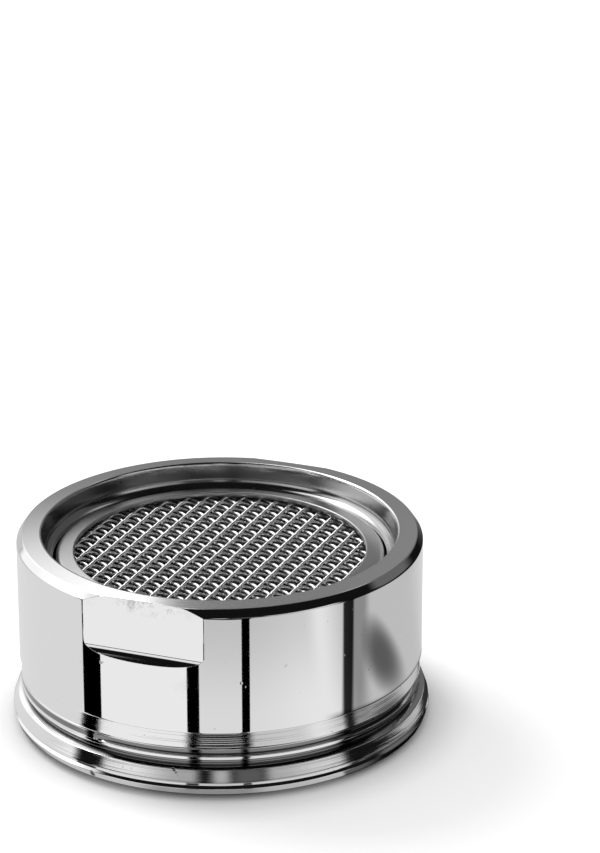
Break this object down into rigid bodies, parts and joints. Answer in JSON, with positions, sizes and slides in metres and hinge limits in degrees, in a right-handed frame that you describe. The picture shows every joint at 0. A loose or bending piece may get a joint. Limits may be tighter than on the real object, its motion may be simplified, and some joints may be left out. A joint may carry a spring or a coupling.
{
  "type": "tap aerator",
  "caption": "Round chromed tap aerator with a male thread, wrench flats and a steel insert with woven screens that mixes air into the water.",
  "frame": {"origin": "on the axis, at the washer's sealing face, on which the part stands", "axes": "+Z along the axis from the inlet towards the outlet; the wrench flats face +Y and -Y"},
  "size_m": [0.024, 0.024, 0.0112],
  "materials": {
    "chromed_brass": "polished chrome with fine turning lines",
    "stainless_sheet": "brushed stainless sheet",
    "steel_wire": "drawn stainless wire",
    "white_plastic": "moulded white plastic",
    "black_rubber": "matt black rubber"
  },
  "bodies": {
    "root": {"housing": "chromed_brass", "insert_shell": "stainless_sheet", "outlet_screen": "steel_wire", "middle_screen": "steel_wire", "inner_screen": "steel_wire", "spacer_sleeve": "white_plastic", "jet_plate": "stainless_sheet", "strainer_frame": "white_plastic", "strainer_screen": "steel_wire", "sealing_washer": "black_rubber"}
  },
  "joints": []
}
